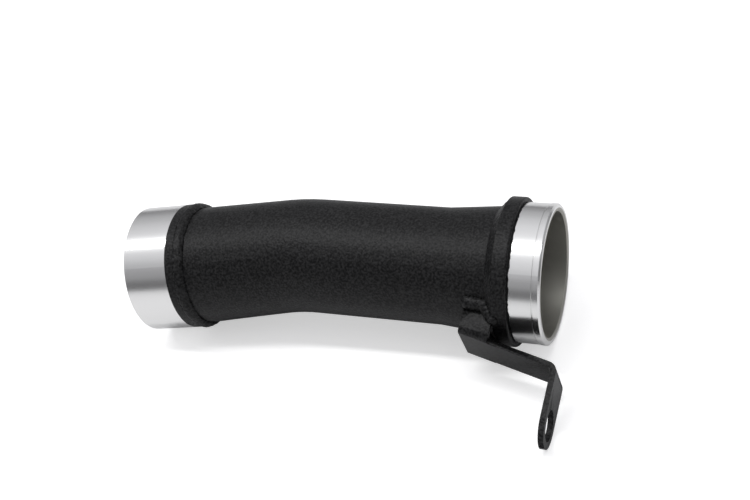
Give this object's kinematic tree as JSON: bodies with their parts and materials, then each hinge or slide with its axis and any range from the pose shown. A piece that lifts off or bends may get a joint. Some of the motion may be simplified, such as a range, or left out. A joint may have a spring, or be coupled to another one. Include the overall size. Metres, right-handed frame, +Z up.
{
  "type": "intercooler pipe",
  "caption": "Short charge air pipe with a shallow bend, two plain hose collars, a stop ridge at the outlet and a folded strap bracket with one bolt hole.",
  "frame": {"origin": "on the outlet's axis, in the middle of the bare land where the outlet hose seats", "axes": "+X out of the outlet, leaning 1.8 degrees down as the pipe lies; +Z up from the surface it rests on; +Y across, away from the bracket's leg"},
  "size_m": [0.253, 0.1304, 0.0798],
  "materials": {
    "tube": "black fine wrinkle powder coat over aluminium",
    "inlet_collar": "bare turned aluminium, its last few millimetres under the coat",
    "outlet_collar": "bare turned aluminium, coated from the stop ridge back",
    "inlet_weld": "black fine wrinkle powder coat over aluminium",
    "outlet_weld": "black fine wrinkle powder coat over aluminium",
    "bracket": "black fine wrinkle powder coat over aluminium",
    "bracket_weld": "black fine wrinkle powder coat over aluminium",
    "bracket_weld_far": "black fine wrinkle powder coat over aluminium"
  },
  "bodies": {
    "root": {"tube": "tube", "inlet_collar": "inlet_collar", "outlet_collar": "outlet_collar", "inlet_weld": "inlet_weld", "outlet_weld": "outlet_weld", "bracket": "bracket", "bracket_weld": "bracket_weld", "bracket_weld_far": "bracket_weld_far"}
  },
  "joints": []
}
